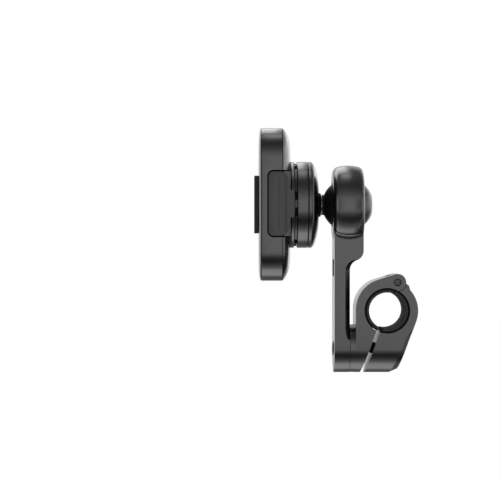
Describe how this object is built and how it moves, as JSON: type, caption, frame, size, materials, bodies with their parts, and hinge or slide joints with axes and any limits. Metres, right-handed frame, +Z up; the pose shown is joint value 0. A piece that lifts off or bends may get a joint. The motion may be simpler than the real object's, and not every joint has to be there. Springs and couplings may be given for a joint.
{
  "type": "phone mount",
  "caption": "Handlebar phone mount: hinged split clamp with reducer shims, flat swivel arm, ball joint, turning disc and a phone head with a square lock boss and side levers",
  "frame": {"origin": "centre of the handlebar bore, in the middle of the clamp's width", "axes": "+Y along the handlebar, +Z up the arm, -X the way the phone faces"},
  "size_m": [0.1143, 0.066, 0.1718],
  "materials": {
    "anodised_black": "satin black anodised",
    "lever_black": "matte black anodised",
    "ball_black": "satin black",
    "dark_steel": "blackened",
    "plain_steel": "bright zinc",
    "nylon_black": "fine moulded grain",
    "pad_rubber": "soft matte"
  },
  "bodies": {
    "clamp": {"clamp_body": "anodised_black", "hinge_pin": "dark_steel", "shim_fixed": "nylon_black", "pivot_bolt": "dark_steel", "pivot_washer": "plain_steel"},
    "jaw": {"clamp_jaw": "anodised_black", "shim_jaw": "nylon_black", "bolt_washer": "plain_steel", "bolt_sleeve": "nylon_black"},
    "pinch_bolt": {"pinch_bolt": "dark_steel"},
    "arm": {"arm": "anodised_black"},
    "tension_ring": {"tension_ring": "dark_steel"},
    "ball_seats": {"front_seat": "nylon_black", "rear_seat": "nylon_black"},
    "ball": {"ball_stud": "ball_black", "neck_ring": "plain_steel", "neck_collar": "dark_steel", "rear_dome": "anodised_black", "base_disc": "anodised_black", "disc_screw_1": "plain_steel", "disc_screw_2": "plain_steel", "disc_screw_3": "plain_steel", "disc_screw_4": "plain_steel", "detent_ring": "dark_steel", "lock_ring": "anodised_black", "spindle": "plain_steel", "spindle_washer": "plain_steel", "spindle_screw": "dark_steel"},
    "head": {"back_cover": "anodised_black", "head_frame": "anodised_black", "front_pad": "pad_rubber", "lock_boss": "nylon_black", "backing_plate": "plain_steel", "boss_screw_1": "plain_steel", "boss_screw_2": "plain_steel", "boss_screw_3": "plain_steel", "boss_screw_4": "plain_steel", "cover_screw_1": "dark_steel", "cover_screw_2": "dark_steel", "cover_screw_3": "dark_steel", "cover_screw_4": "dark_steel", "lever_pin_right": "plain_steel", "lever_pin_left": "plain_steel", "lever_spring_right": "plain_steel", "lever_spring_left": "plain_steel"},
    "lever_right": {"side_lever_right": "lever_black"},
    "lever_left": {"side_lever_left": "lever_black"}
  },
  "joints": [
    {"name": "jaw_hinge", "type": "hinge", "parent": "clamp", "child": "jaw", "pos_m": [0.00718, 0, 0.01973], "axis": [0, -1, 0], "range_deg": [0, 100]},
    {"name": "pinch_bolt_travel", "type": "slide", "parent": "jaw", "child": "pinch_bolt", "axis": [0.9397, 0, -0.342], "range_m": [0, 0.012]},
    {"name": "arm_swivel", "type": "hinge", "parent": "clamp", "child": "arm", "pos_m": [-0.0258, 0, -0.027], "axis": [1, 0, 0], "continuous": true},
    {"name": "tension_turn", "type": "hinge", "parent": "arm", "child": "tension_ring", "pos_m": [-0.0266, 0, 0.0743], "axis": [1, 0, 0], "range_deg": [-90, 90]},
    {"name": "ball_swivel", "type": "hinge", "parent": "arm", "child": "ball_seats", "pos_m": [-0.0266, 0, 0.0743], "axis": [1, 0, 0], "continuous": true},
    {"name": "ball_tilt", "type": "hinge", "parent": "ball_seats", "child": "ball", "pos_m": [-0.0266, 0, 0.0743], "axis": [0, 1, 0], "range_deg": [-20, 20]},
    {"name": "head_turn", "type": "hinge", "parent": "ball", "child": "head", "pos_m": [-0.0266, 0, 0.0743], "axis": [1, 0, 0], "continuous": true},
    {"name": "lever_right_press", "type": "hinge", "parent": "head", "child": "lever_right", "pos_m": [-0.076, -0.03, 0.0743], "axis": [0, 0, -1], "range_deg": [0, 8], "stiffness_Nm_per_rad": 0.2, "springref_deg": -2.86, "deforming": ["lever_spring_right"]},
    {"name": "lever_left_press", "type": "hinge", "parent": "head", "child": "lever_left", "pos_m": [-0.076, 0.03, 0.0743], "axis": [0, 0, 1], "range_deg": [0, 8], "stiffness_Nm_per_rad": 0.2, "springref_deg": -2.86, "deforming": ["lever_spring_left"]}
  ]
}
